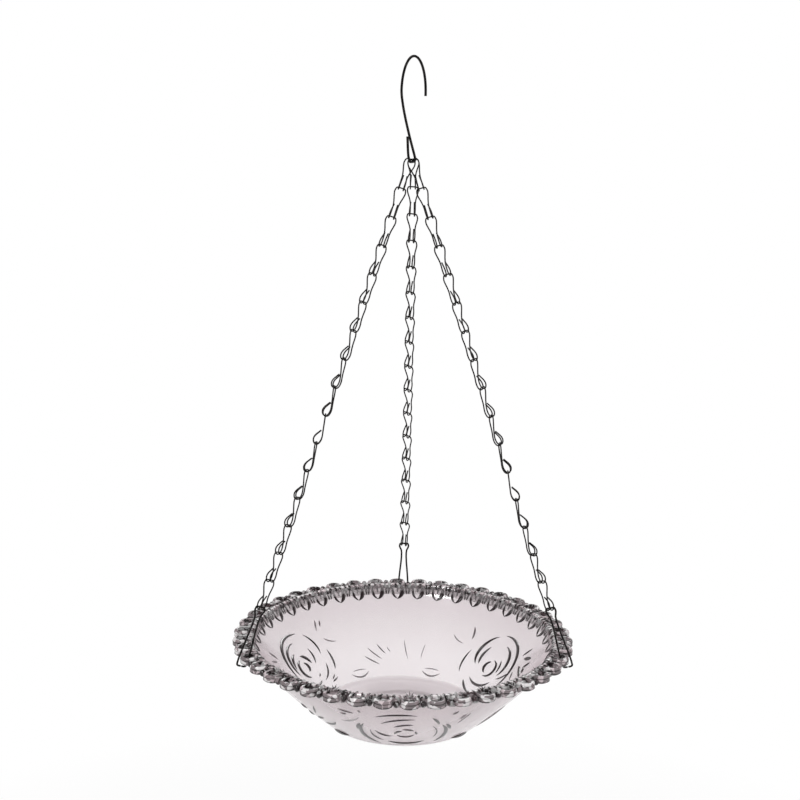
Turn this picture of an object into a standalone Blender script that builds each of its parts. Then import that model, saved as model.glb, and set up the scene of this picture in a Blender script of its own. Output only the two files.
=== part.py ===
"""Hanging bird bath: a pressed-glass bowl with an open lace rim, hung on three ladder chains from a wire hook.

Metres, +Z up. The origin is the point inside the top of the hook, where the branch or bracket carries it.
+Y points away from the side that is seen first, and +X to its right.
"""

import math

import bmesh
import bpy
from mathutils import Matrix, Vector

# General
CLEARANCE = 0.0003

# Hook: a bent wire with a crook at the top and a closed eye at the bottom
HOOK_WIRE = 0.0018
HOOK_THROAT = 0.0147
HOOK_BEND_RISE = 0.0240
HOOK_TIP = 0.0026
HOOK_DROP = 0.0712
EYE_INNER = 0.0060
EYE_RISE = 0.0172
EYE_TURN = math.radians(60)
EYE_LEAN = 0.0028

# Chain links: a ladder chain of bent wire
CHAIN_LINKS = 16
LINK_WIRE = 0.0010
LINK_PITCH = 0.02063
LINK_WIDTH = 0.0088
LINK_SHOULDER = 0.0040
LINK_HOOK_SPAN = 0.0035
LINK_NECK_DROP = 0.0115
LINK_LOOP = 0.0072
LINK_LOOP_RISE = 0.0030
LINK_TAIL_RISE = 0.0088
LINK_SPACING_ON_EYE = 0.0018

# Rim clips: a longer wire form that closes round a bar of the rim
CLIP_WIRE = 0.0014
CLIP_LENGTH = 0.0404
CLIP_EYE_WIDTH = 0.0086
CLIP_EYE_DROP = 0.0032
CLIP_NECK = 0.0026
CLIP_NECK_DROP = 0.0085
CLIP_PLAY = 0.0004
CLIP_FOOT_GAP = 0.0008
CLIP_SPREAD = math.radians(111.4)

# Bowl: pressed glass
BOWL_RADIUS = 0.1250
BOWL_DEPTH = 0.0640
BOWL_WALL = 0.0036
BOWL_WALL_BULGE = 0.0015
BOWL_SHOULDER_RADIUS = 0.0580
BOWL_SHOULDER_RISE = 0.0050
FLOOR_THICKNESS = 0.0050
FOOT_RADIUS = 0.0450
FOOT_WIDTH = 0.0045
FOOT_RECESS = 0.0018
BOWL_STEPS = 54

# Lace rim: closed loops standing out of a beaded lip
LACE_PITCH = 0.0184
LACE_GAP = 0.0054
LACE_HEIGHT = 0.0056
LACE_SIDE_BAR = 0.0026
LACE_OUTER_BAR = 0.0034
LACE_HOLE_LENGTH = 0.0046
LACE_ROUNDING = 0.0060
LIP_FLANGE = 0.0024
LIP_FLANGE_HEIGHT = 0.0026
LIP_BEAD_WIDTH = 0.0036
LIP_BEAD_PROUD = 0.0002

# Twist of each chain about its own line, from its first link to its last: turn at the first link, even turn,
# turn that gathers towards the bowl, and turn that comes and goes along the chain
CHAIN_TWIST = {
    "left": (-5, 154, 0, 0),
    "right": (0, -95, -45, 0),
    "back": (0, 16, 0, 27),
}
SEAT_ON_EYE = {"left": -1, "right": 0, "back": 1}

WIRE_SIDES = 5

# Worked out from the sizes above
HOOK_HALF = (HOOK_THROAT + HOOK_WIRE) / 2
EYE_HALF = (EYE_INNER + HOOK_WIRE) / 2
EYE_Z = HOOK_WIRE / 2 - HOOK_DROP
EYE_ALONG = Vector((math.cos(EYE_TURN), math.sin(EYE_TURN), 0))
SEAT_HEIGHT = EYE_Z + (HOOK_WIRE + LINK_WIRE) / 2 + CLEARANCE
LINK_SEAT = LINK_WIRE + CLEARANCE
LINK_BAR_HALF = (LINK_HOOK_SPAN + LINK_WIRE) / 2 + CLEARANCE
CLIP_SEAT_SHIFT = (CLIP_WIRE - LINK_WIRE) / 2

BAR_RADIUS = BOWL_RADIUS - LACE_OUTER_BAR / 2
LACE_COUNT = round(2 * math.pi * BAR_RADIUS / LACE_PITCH)
LACE_STEP = 2 * math.pi / LACE_COUNT
HOLE_OUTER = BOWL_RADIUS - LACE_OUTER_BAR
HOLE_INNER = HOLE_OUTER - LACE_HOLE_LENGTH
FLANGE_RADIUS = HOLE_INNER - CLEARANCE
BEAD_RADIUS = FLANGE_RADIUS - LIP_FLANGE
LIP_RADIUS = BEAD_RADIUS - LIP_BEAD_WIDTH
SIDE_BAR_RADIUS = (HOLE_INNER + HOLE_OUTER) / 2
LOOP_HALF = (LACE_STEP * SIDE_BAR_RADIUS - LACE_GAP) / 2
SIDE_BAR_OFFSET = LOOP_HALF - LACE_SIDE_BAR / 2
LACE_PHASE = math.pi / 2 + SIDE_BAR_OFFSET / SIDE_BAR_RADIUS
CLIP_STEPS = round(CLIP_SPREAD / LACE_STEP)


def polar(radius, angle, height=0.0):
    """Point at a radius and angle round the bowl's axis."""
    return Vector((radius * math.cos(angle), radius * math.sin(angle), height))


CLIP_SEATS = {
    "left": polar(BAR_RADIUS, LACE_PHASE + CLIP_STEPS * LACE_STEP),
    "right": polar(BAR_RADIUS, LACE_PHASE - CLIP_STEPS * LACE_STEP),
    "back": polar(SIDE_BAR_RADIUS, math.pi / 2),
}
CHAIN_TOPS = {
    name: EYE_ALONG * LINK_SPACING_ON_EYE * place + Vector((0, 0, SEAT_HEIGHT))
    for name, place in SEAT_ON_EYE.items()
}
CHAIN_LENGTH = CHAIN_LINKS * LINK_PITCH - CLIP_SEAT_SHIFT + CLIP_LENGTH
CHAIN_REACH = max((CLIP_SEATS[name] - CHAIN_TOPS[name]).xy.length for name in CLIP_SEATS)
RIM_Z = SEAT_HEIGHT - math.sqrt(CHAIN_LENGTH**2 - CHAIN_REACH**2)
LEAN = math.asin(CHAIN_REACH / CHAIN_LENGTH)
BAR_ACROSS = LACE_OUTER_BAR / 2 * math.cos(LEAN) + LACE_HEIGHT / 2 * math.sin(LEAN)
BAR_DOWN = LACE_HEIGHT / 2 * math.cos(LEAN) + LACE_OUTER_BAR / 2 * math.sin(LEAN)


def clear_scene():
    for item in list(bpy.data.objects):
        bpy.data.objects.remove(item, do_unlink=True)


def new_collection(name):
    collection = bpy.data.collections.new(name)
    bpy.context.scene.collection.children.link(collection)
    return collection


def new_material(name, colour, roughness, metallic, transmission=0.0):
    material = bpy.data.materials.new(name)
    material.use_nodes = True
    shader = material.node_tree.nodes["Principled BSDF"]
    shader.inputs["Base Color"].default_value = (*colour, 1)
    shader.inputs["Roughness"].default_value = roughness
    shader.inputs["Metallic"].default_value = metallic
    shader.inputs["Transmission Weight"].default_value = transmission
    material.diffuse_color = (*colour, 1)
    return material


def as_guide(item):
    item.hide_render = True
    item.display_type = "WIRE"


def poly_spline(curve, points, cyclic=False):
    spline = curve.splines.new("POLY")
    spline.points.add(len(points) - 1)
    for place, point in zip(spline.points, points):
        place.co = (*point, 1)
    spline.use_cyclic_u = cyclic


def wire_section(name, diameter, collection):
    """Round section of a wire, as a guide for the wires that follow it."""
    curve = bpy.data.curves.new(name, "CURVE")
    corners = [-2 * math.pi * step / WIRE_SIDES for step in range(WIRE_SIDES)]
    poly_spline(curve, [polar(diameter / 2, corner) for corner in corners], cyclic=True)
    section = bpy.data.objects.new(name, curve)
    collection.objects.link(section)
    as_guide(section)
    return section


def wire_form(name, points, section):
    """Bent wire along a path, with closed ends."""
    curve = bpy.data.curves.new(name, "CURVE")
    curve.dimensions = "3D"
    curve.bevel_mode = "OBJECT"
    curve.bevel_object = section
    curve.use_fill_caps = True
    poly_spline(curve, points)
    return curve


def placed(name, data, matrix, material, collection):
    item = bpy.data.objects.new(name, data)
    if not data.materials:
        data.materials.append(material)
    collection.objects.link(item)
    item.matrix_world = matrix
    return item


def mirrored_wire(half):
    """Full path of a wire that is the same on both sides of X, from the half at +X, listed from the middle out."""
    return [Vector((-p.x, p.y, p.z)) for p in reversed(half)] + half


def quarter_arch(bar_half, half_width, drop, steps=2):
    """Shoulder of an arch: a quarter ellipse from the end of the crossbar out and down to the widest place."""
    turns = [math.pi / 2 * step / steps for step in range(steps + 1)]
    return [
        Vector((bar_half + (half_width - bar_half) * math.sin(turn), -drop * (1 - math.cos(turn)), 0))
        for turn in turns
    ]


def hook_path():
    """Centre line of the hook: tip, crook, shank and the eye, whose plane is turned about +Z."""
    bend_z = HOOK_WIRE / 2 - HOOK_BEND_RISE
    turns = [math.pi * step / 12 for step in range(13)]
    points = [Vector((HOOK_HALF, 0, bend_z - HOOK_TIP))]
    points += [
        Vector((HOOK_HALF * math.cos(turn), 0, bend_z + HOOK_BEND_RISE * math.sin(turn))) for turn in turns
    ]
    top = Vector((-EYE_LEAN, 0, EYE_Z + EYE_RISE))
    shoulder = points[-1]
    points += [shoulder.lerp(top, share) + Vector((-0.05 * HOOK_HALF, 0, 0)) for share in (0.16, 0.5)]
    neck = HOOK_WIRE / 2 + CLEARANCE
    corner = HOOK_WIRE
    widest = EYE_Z + 2.6 * HOOK_WIRE
    middle = Vector((-EYE_LEAN * (widest - EYE_Z) / EYE_RISE, 0, widest))
    side = EYE_ALONG * EYE_HALF
    flat = EYE_ALONG * (EYE_HALF - corner)
    lowest = Vector((0, 0, EYE_Z))
    points += [
        top + EYE_ALONG * neck,
        middle + side,
        lowest + side + Vector((0, 0, corner)),
        lowest + EYE_ALONG * (EYE_HALF - 0.3 * corner) + Vector((0, 0, 0.3 * corner)),
        lowest + flat,
        lowest - flat,
        lowest - EYE_ALONG * (EYE_HALF - 0.3 * corner) + Vector((0, 0, 0.3 * corner)),
        lowest - side + Vector((0, 0, corner)),
        middle - side,
        top - EYE_ALONG * (neck + CLEARANCE),
    ]
    return points


def link_path():
    """Centre line of a link. Its origin is the middle of the crossbar that hangs in its hooks, and +Y is up."""
    hook_x = LINK_HOOK_SPAN / 2
    loop_z = (LINK_LOOP - LINK_WIRE) / 2
    leg_lean = loop_z / (LINK_PITCH - LINK_LOOP_RISE)
    half = quarter_arch(LINK_BAR_HALF, (LINK_WIDTH - LINK_WIRE) / 2, LINK_SHOULDER)
    half.append(Vector((hook_x, -LINK_NECK_DROP, 0)))
    half.append(Vector((hook_x, LINK_LOOP_RISE - LINK_PITCH, 0)))
    for point in half:
        point.z = leg_lean * point.y
    tail_drop = LINK_PITCH - LINK_TAIL_RISE
    half += [
        Vector((hook_x, -LINK_PITCH - LINK_SEAT, -0.55 * loop_z)),
        Vector((hook_x, -LINK_PITCH - LINK_SEAT, 0.55 * loop_z)),
        Vector((hook_x, LINK_LOOP_RISE - LINK_PITCH, loop_z)),
        Vector((hook_x - LINK_WIRE / 2, -tail_drop, LINK_SEAT - leg_lean * tail_drop)),
    ]
    return [point + Vector((0, LINK_PITCH, 0)) for point in mirrored_wire(half)]


def clip_path():
    """Centre line of a rim clip. Its origin is the middle of the rim bar that its feet close under, and +Y is up."""
    eye_half = (CLIP_EYE_WIDTH - CLIP_WIRE) / 2
    leg_x = BAR_ACROSS + CLIP_WIRE / 2 + CLIP_PLAY
    foot_y = -BAR_DOWN - CLIP_WIRE / 2 - CLIP_PLAY
    bend = CLIP_WIRE
    half = quarter_arch(LINK_BAR_HALF + CLIP_SEAT_SHIFT, eye_half, CLIP_EYE_DROP)
    half.append(Vector((CLIP_NECK / 2, -CLIP_NECK_DROP, 0)))
    for point in half:
        point.y += CLIP_LENGTH
    half += [
        Vector((leg_x, BAR_DOWN + bend, 0)),
        Vector((leg_x, foot_y + bend, 0)),
        Vector((leg_x - 0.3 * bend, foot_y + 0.3 * bend, 0)),
        Vector((leg_x - bend, foot_y, 0)),
        Vector((CLIP_FOOT_GAP / 2, foot_y, 0)),
    ]
    return mirrored_wire(half)


def turned_frame(across, down, turn, origin):
    """Placement whose +Y runs up a chain and whose +X is turned about the chain from the direction across."""
    side = (across - down * across.dot(down)).normalized()
    front = down.cross(side)
    side_turned = side * math.cos(turn) + front * math.sin(turn)
    front_turned = down.cross(side_turned)
    return Matrix.Translation(origin) @ Matrix((side_turned, -down, front_turned)).transposed().to_4x4()


def chain_twist(name, link):
    start, even, gathering, passing = CHAIN_TWIST[name]
    along = (link - 1) / (CHAIN_LINKS - 1)
    return math.radians(start + even * along + gathering * along**3 + passing * math.sin(math.pi * along))


def chain_line(name):
    """Top crossbar, direction down the chain, and the spacing of its links."""
    top = CHAIN_TOPS[name]
    seat = CLIP_SEATS[name] + Vector((0, 0, RIM_Z))
    span = seat - top
    spacing = (span.length - CLIP_LENGTH + CLIP_SEAT_SHIFT) / CHAIN_LINKS
    return top, span.normalized(), spacing


def make_chain(name, link_curve, material, collection, swing):
    top, down, spacing = chain_line(name)
    for link in range(1, CHAIN_LINKS + 1):
        seat = top + down * spacing * link
        frame = turned_frame(Vector((1, 0, 0)), down, chain_twist(name, link), seat)
        item = placed(f"link_{name}_{link:02d}", link_curve, frame, material, collection)
        if link == 1:
            item.parent = swing
            item.matrix_parent_inverse = swing.matrix_world.inverted()


def make_clip(name, curve, material, collection):
    """Clip that closes round the outer bar of a lace loop, or at the back round one of its side bars."""
    _, down, _ = chain_line(name)
    seat = CLIP_SEATS[name] + Vector((0, 0, RIM_Z))
    across = Vector((1, 0, 0)) if name == "back" else CLIP_SEATS[name].normalized()
    placed(f"clip_{name}", curve, turned_frame(across, down, 0, seat), material, collection)


def bowl_profile():
    """Half section of the bowl: from the middle of the floor up its inner side, over the lip and down to the foot."""
    lip_half = LACE_HEIGHT / 2 + LIP_BEAD_PROUD
    flange_half = LIP_FLANGE_HEIGHT / 2
    wall_top = Vector((BEAD_RADIUS, 0, -lip_half))
    shoulder = Vector((BOWL_SHOULDER_RADIUS, 0, BOWL_SHOULDER_RISE - BOWL_DEPTH))
    run = shoulder - wall_top
    out = Vector((-run.z, 0, run.x)).normalized()
    outer_wall = [
        wall_top + run * share + out * BOWL_WALL_BULGE * 4 * share * (1 - share) for share in (0, 0.25, 0.5, 0.75, 1)
    ]
    floor_z = FOOT_RECESS - BOWL_DEPTH + FLOOR_THICKNESS
    inner_wall = [point - out * BOWL_WALL for point in reversed(outer_wall[1:])]
    lip_top = Vector((LIP_RADIUS, 0, lip_half))
    floor_edge = Vector((inner_wall[0].x - 2 * BOWL_WALL, 0, floor_z))
    floor = [Vector((0, 0, floor_z)), floor_edge]
    lip = [
        lip_top - Vector((BOWL_WALL / 3, 0, BOWL_WALL)),
        lip_top,
        Vector((BEAD_RADIUS, 0, lip_half)),
        Vector((BEAD_RADIUS, 0, flange_half)),
        Vector((FLANGE_RADIUS, 0, flange_half)),
        Vector((FLANGE_RADIUS, 0, -flange_half)),
        Vector((BEAD_RADIUS, 0, -flange_half)),
    ]
    foot_top = FOOT_RECESS - BOWL_DEPTH
    foot = [
        Vector((FOOT_RADIUS + FOOT_RECESS, 0, foot_top)),
        Vector((FOOT_RADIUS, 0, -BOWL_DEPTH)),
        Vector((FOOT_RADIUS - FOOT_WIDTH, 0, -BOWL_DEPTH)),
        Vector((FOOT_RADIUS - FOOT_WIDTH - FOOT_RECESS, 0, foot_top)),
        Vector((0, 0, foot_top)),
    ]
    return floor + inner_wall + lip + outer_wall + foot


def loop_outline(angle):
    """Outer edge of one lace loop: straight sides out of the bead and a round end."""
    shoulder = BOWL_RADIUS - LACE_ROUNDING
    root = BEAD_RADIUS - LIP_BEAD_WIDTH / 4
    edge = [Vector((root, -LOOP_HALF, 0))]
    for turn in (-90, -45, 0, 45, 90):
        turn = math.radians(turn)
        edge.append(Vector((shoulder + LACE_ROUNDING * math.cos(turn), LOOP_HALF * math.sin(turn), 0)))
    edge.append(Vector((root, LOOP_HALF, 0)))
    spin = Matrix.Rotation(angle, 3, "Z")
    return [spin @ point for point in edge]


def loop_hole(angle):
    """Hole of one lace loop, a bar's width inside its outer edge."""
    half = LOOP_HALF - LACE_SIDE_BAR
    corners = [(HOLE_INNER, half), (HOLE_OUTER - half / 2, half), (HOLE_OUTER, half / 2)]
    edge = [Vector((x, -y, 0)) for x, y in corners] + [Vector((x, y, 0)) for x, y in reversed(corners)]
    spin = Matrix.Rotation(angle, 3, "Z")
    return [spin @ point for point in edge]


def make_lace(collection):
    """Flat ring of lace loops with their holes, to be joined to the bowl."""
    curve = bpy.data.curves.new("lace_loops", "CURVE")
    curve.dimensions = "2D"
    curve.fill_mode = "BOTH"
    curve.extrude = LACE_HEIGHT / 2
    angles = [LACE_PHASE + LACE_STEP * step for step in range(LACE_COUNT)]
    poly_spline(curve, [point for angle in angles for point in loop_outline(angle)], cyclic=True)
    inner = BEAD_RADIUS - LIP_BEAD_WIDTH / 2
    poly_spline(curve, [polar(inner, angle) for angle in angles], cyclic=True)
    for angle in angles:
        poly_spline(curve, loop_hole(angle), cyclic=True)
    flat = bpy.data.objects.new("lace_loops", curve)
    collection.objects.link(flat)
    bpy.context.view_layer.update()
    solid = bpy.data.meshes.new_from_object(flat.evaluated_get(bpy.context.evaluated_depsgraph_get()))
    bpy.data.objects.remove(flat)
    work = bmesh.new()
    work.from_mesh(solid)
    bmesh.ops.remove_doubles(work, verts=work.verts, dist=1e-6)
    work.to_mesh(solid)
    work.free()
    lace = bpy.data.objects.new("lace_loops", solid)
    lace.location.z = RIM_Z
    collection.objects.link(lace)
    as_guide(lace)
    return lace


def make_bowl(lace, material, collection):
    profile = bowl_profile()
    mesh = bpy.data.meshes.new("glass_bowl")
    mesh.from_pydata(profile, [(place, place + 1) for place in range(len(profile) - 1)], [])
    bowl = placed("glass_bowl", mesh, Matrix.Translation((0, 0, RIM_Z)), material, collection)
    screw = bowl.modifiers.new("Turn", "SCREW")
    screw.steps = BOWL_STEPS
    screw.render_steps = BOWL_STEPS
    screw.use_merge_vertices = True
    screw.merge_threshold = 1e-5
    join = bowl.modifiers.new("Join lace", "BOOLEAN")
    join.operation = "UNION"
    join.solver = "EXACT"
    join.object = lace


def main():
    clear_scene()
    parts = new_collection("hanging_bird_bath")
    guides = new_collection("guides")
    steel = new_material("dark_steel_wire", (0.035, 0.034, 0.034), 0.32, 1.0)
    glass = new_material("pressed_glass", (0.86, 0.80, 0.80), 0.04, 0.0, transmission=1.0)

    hook_curve = wire_form("hook", hook_path(), wire_section("hook_section", HOOK_WIRE, guides))
    placed("hook", hook_curve, Matrix.Identity(4), steel, parts)

    swing = bpy.data.objects.new("swing_axis", None)
    swing.location = (0, 0, EYE_Z)
    parts.objects.link(swing)
    bpy.context.view_layer.update()

    link_curve = wire_form("chain_link", link_path(), wire_section("link_section", LINK_WIRE, guides))
    clip_curve = wire_form("rim_clip", clip_path(), wire_section("clip_section", CLIP_WIRE, guides))
    for name in CHAIN_TWIST:
        make_chain(name, link_curve, steel, parts, swing)
        make_clip(name, clip_curve, steel, parts)

    make_bowl(make_lace(guides), glass, parts)


main()
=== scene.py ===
"""Looks of the hanging bird bath: pressed glass with roses, dark wire chains, clips and hook."""

import math

import bpy
import numpy as np
from mathutils import Matrix


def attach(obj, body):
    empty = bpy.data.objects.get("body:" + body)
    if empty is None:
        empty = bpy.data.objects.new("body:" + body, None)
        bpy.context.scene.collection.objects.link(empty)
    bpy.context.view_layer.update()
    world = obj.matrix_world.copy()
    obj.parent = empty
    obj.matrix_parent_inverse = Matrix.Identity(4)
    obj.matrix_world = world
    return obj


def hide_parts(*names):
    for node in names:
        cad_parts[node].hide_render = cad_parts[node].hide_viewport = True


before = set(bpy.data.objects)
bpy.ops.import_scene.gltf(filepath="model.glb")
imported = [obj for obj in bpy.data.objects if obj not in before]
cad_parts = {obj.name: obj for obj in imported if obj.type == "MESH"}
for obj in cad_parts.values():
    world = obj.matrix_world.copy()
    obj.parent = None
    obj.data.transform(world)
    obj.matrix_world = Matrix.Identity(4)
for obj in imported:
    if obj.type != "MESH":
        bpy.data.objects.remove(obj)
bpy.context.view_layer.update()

MM = 0.001

# Sizes in millimetres, as the solids have them
CLEARANCE = 0.3
HOOK_WIRE = 1.8
HOOK_THROAT = 14.7
HOOK_BEND_RISE = 24.0
HOOK_TIP = 2.6
HOOK_DROP = 71.2
EYE_RISE = 17.2
EYE_TURN = math.radians(60)
EYE_LEAN = 2.8
# 3.9 in the solid: wider here, so that the first left link clears the eye at full swing
EYE_HALF = 4.3

LINKS = 16
LINK_WIRE = 1.0
LINK_PITCH = 20.63
LINK_WIDTH = 8.8
LINK_SHOULDER = 4.0
LINK_HOOK_SPAN = 3.5
LINK_NECK_DROP = 11.5
LINK_LOOP = 7.2
LINK_LOOP_RISE = 3.0
LINK_TAIL_RISE = 8.8
LINK_SPACING_ON_EYE = 1.8

CLIP_WIRE = 1.4
CLIP_LENGTH = 40.4
CLIP_EYE_WIDTH = 8.6
CLIP_EYE_DROP = 3.2
CLIP_NECK = 2.6
CLIP_NECK_DROP = 8.5
CLIP_PLAY = 0.4
CLIP_FOOT_GAP = 0.8
# Lace loops from the one at the back to the left and to the right clip
CLIP_STEPS = 13

BOWL_RADIUS = 125.0
BOWL_DEPTH = 64.0
BOWL_WALL = 3.6
WALL_BULGE = 1.5
SHOULDER_RADIUS = 58.0
SHOULDER_RISE = 5.0
FLOOR_THICKNESS = 5.0
FOOT_RADIUS = 45.0
FOOT_WIDTH = 4.5
FOOT_RECESS = 1.8

LACE_COUNT = 42
LACE_GAP = 5.4
LACE_HEIGHT = 5.6
LACE_SIDE_BAR = 2.6
LACE_OUTER_BAR = 3.4
LACE_HOLE_LENGTH = 4.6
LACE_ROUNDING = 6.0
LIP_FLANGE = 2.4
LIP_FLANGE_HEIGHT = 2.6
LIP_BEAD_WIDTH = 3.6

# Turn of a chain's links in degrees: at the top, then its even, gathering and passing change on the way down
CHAIN_TWIST = {"left": (-5, 154, 0, 0), "right": (0, -95, -45, 0), "back": (0, 16, 0, 27)}
# Places of the chains on the eye, in steps from its middle
SEAT_ON_EYE = {"left": -1, "right": 0, "back": 1}

# Sizes that follow from these
HOOK_HALF = (HOOK_THROAT + HOOK_WIRE) / 2
EYE_Z = HOOK_WIRE / 2 - HOOK_DROP
EYE_ALONG = np.array([math.cos(EYE_TURN), math.sin(EYE_TURN), 0.0])
SEAT_Z = EYE_Z + (HOOK_WIRE + LINK_WIRE) / 2 + CLEARANCE
LINK_HOOK_X = LINK_HOOK_SPAN / 2
LINK_SEAT = LINK_WIRE + CLEARANCE
LINK_BAR_HALF = LINK_HOOK_X + LINK_WIRE / 2 + CLEARANCE
CLIP_SEAT_SHIFT = (CLIP_WIRE - LINK_WIRE) / 2
SHOULDER_Z = SHOULDER_RISE - BOWL_DEPTH
FOOT_TOP = FOOT_RECESS - BOWL_DEPTH
FLOOR_Z = FOOT_TOP + FLOOR_THICKNESS
LIP_TOP = LACE_HEIGHT / 2
LACE_STEP = 2 * math.pi / LACE_COUNT
HOLE_OUTER = BOWL_RADIUS - LACE_OUTER_BAR
HOLE_INNER = HOLE_OUTER - LACE_HOLE_LENGTH
FLANGE_RADIUS = HOLE_INNER - CLEARANCE
BEAD_RADIUS = FLANGE_RADIUS - LIP_FLANGE
LIP_RADIUS = BEAD_RADIUS - LIP_BEAD_WIDTH
BAR_RADIUS = BOWL_RADIUS - LACE_OUTER_BAR / 2
SIDE_BAR_RADIUS = (HOLE_INNER + HOLE_OUTER) / 2
SIDE_BAR_OFFSET = (LACE_STEP * SIDE_BAR_RADIUS - LACE_GAP) / 2 - LACE_SIDE_BAR / 2
LACE_PHASE = math.pi / 2 + SIDE_BAR_OFFSET / SIDE_BAR_RADIUS


def unit(v):
    """A vector brought to length 1."""
    return np.asarray(v, float) / np.linalg.norm(v)


def polar(radius, angle):
    """Point at the rim's height, from its radius and angle."""
    return np.array([radius * math.cos(angle), radius * math.sin(angle), 0.0])


CLIP_SEATS = {
    "left": polar(BAR_RADIUS, LACE_PHASE + CLIP_STEPS * LACE_STEP),
    "right": polar(BAR_RADIUS, LACE_PHASE - CLIP_STEPS * LACE_STEP),
    "back": polar(SIDE_BAR_RADIUS, math.pi / 2),
}
CHAIN_TOPS = {n: EYE_ALONG * LINK_SPACING_ON_EYE * s + [0, 0, SEAT_Z] for n, s in SEAT_ON_EYE.items()}
CHAIN_LENGTH = LINKS * LINK_PITCH - CLIP_SEAT_SHIFT + CLIP_LENGTH
CHAIN_REACH = max(np.linalg.norm((CLIP_SEATS[n] - CHAIN_TOPS[n])[:2]) for n in CLIP_SEATS)
RIM_Z = SEAT_Z - math.sqrt(CHAIN_LENGTH**2 - CHAIN_REACH**2)
LEAN = math.asin(CHAIN_REACH / CHAIN_LENGTH)
BAR_ACROSS = LACE_OUTER_BAR / 2 * math.cos(LEAN) + LACE_HEIGHT / 2 * math.sin(LEAN)
BAR_DOWN = LACE_HEIGHT / 2 * math.cos(LEAN) + LACE_OUTER_BAR / 2 * math.sin(LEAN)


def linear(hex_colour):
    """sRGB hex to linear light."""
    s = np.array([int(hex_colour[k : k + 2], 16) for k in (1, 3, 5)]) / 255
    return tuple(np.where(s <= 0.04045, s / 12.92, ((s + 0.055) / 1.055) ** 2.4))


def add_node(tree, kind, settings=None, links=None, stops=()):
    """Adds a node, sets its attributes or inputs, and links its inputs from other nodes' outputs.

    The stops of a colour ramp are places and sRGB hex colours.
    """
    node = tree.nodes.new(kind)
    for key, value in (settings or {}).items():
        if isinstance(key, str) and hasattr(node, key):
            setattr(node, key, value)
        else:
            node.inputs[key].default_value = value
    for key, source in (links or {}).items():
        tree.links.new(source, node.inputs[key])
    if stops:
        elements = node.color_ramp.elements
        while len(elements) < len(stops):
            elements.new(1.0)
        for element, (place, colour) in zip(elements, stops):
            element.position = place
            element.color = (*linear(colour), 1)
    return node


def new_material(name):
    """A material, its nodes and its shader."""
    material = bpy.data.materials.new(name)
    material.use_nodes = True
    tree = material.node_tree
    return material, tree, tree.nodes["Principled BSDF"]


# Patterns of the glass, in millimetres: cells of the painted glints, waves of the mould and their depth
GLINT_CELL_WIDTH = 3.125
MOULD_WAVE = 12.5
MOULD_DEPTH = 1.0
# Depths under the rim between which the wall's painted shade fades and its glass turns paler, in millimetres
PALE_START = 5.0
PALE_END = 50.0
# How far the glass turns away, from 0 to 1, where it starts to darken, starts to close and is darkest
DARKENS_FROM = 0.5
CLOSES_FROM = 0.6
DARKEST = 0.92
# Share of the passing light that is left where it is darkest
EDGE_PASSES = 0.15
GLASS_IOR = 1.5
# Finishes of the glass: colours facing the eye and turned away, clear, roughness, ripple, share of painted
# glints and gloss
# Painted shade: the bowl is one pink glass, and every finish but the clear wall's is painted darker and less
# clear, standing in for the shade that refraction gives the floor, lip, lace and relief; the lace, lip and
# dark glass also take painted glints
GLASS = {
    "clear": ("#faf4f6", "#cdbfc3", 0.84, 0.12, 0.05, 0.0, 0.5),
    "floor": ("#e2d9dc", "#b3a7ab", 0.70, 0.35, 0.05, 0.0, 0.5),
    "lace": ("#ecdce0", "#1d1213", 0.35, 0.02, 0.08, 0.72, 0.5),
    "lip": ("#ecdce0", "#1d1213", 0.35, 0.02, 0.08, 0.6, 0.5),
    "painted_shade": ("#2e2527", "#120d0e", 0.30, 0.06, 0.03, 0.4, 0.5),
    "rose": ("#2c2325", "#120d0e", 0.15, 0.06, 0.03, 0.0, 0.2),
    "leaf": ("#6e6366", "#3a3133", 0.30, 0.06, 0.03, 0.0, 0.5),
}


def painted_glint_colour(tree, place):
    """Painted glints and dark reflections: random cells of colour, from near black to white, stand in for
    the room that moulded facets would show.
    """
    cells = add_node(tree, "ShaderNodeTexVoronoi", {"Scale": 1 / (GLINT_CELL_WIDTH * MM)}, {"Vector": place})
    pick = add_node(tree, "ShaderNodeSeparateColor", links={"Color": cells.outputs["Color"]})
    stops = ((0.0, "#120a0b"), (0.36, "#5e4d50"), (0.52, "#d8c9cd"), (0.70, "#ffffff"))
    shades = add_node(tree, "ShaderNodeValToRGB", links={"Fac": pick.outputs["Red"]}, stops=stops)
    shades.color_ramp.interpolation = "CONSTANT"
    return shades.outputs["Color"]


def painted_rim_shade(tree, place):
    """Painted shade: the glass is painted a little darker near the rim and paler down the wall."""
    parts = add_node(tree, "ShaderNodeSeparateXYZ", links={"Vector": place})
    reach = {"From Min": (RIM_Z - PALE_END) * MM, "From Max": (RIM_Z - PALE_START) * MM}
    height = add_node(tree, "ShaderNodeMapRange", reach, {"Value": parts.outputs["Z"]})
    stops = ((0.2, "#ffffff"), (0.85, "#edeaeb"))
    shades = add_node(tree, "ShaderNodeValToRGB", links={"Fac": height.outputs["Result"]}, stops=stops)
    return shades.outputs["Color"]


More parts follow.
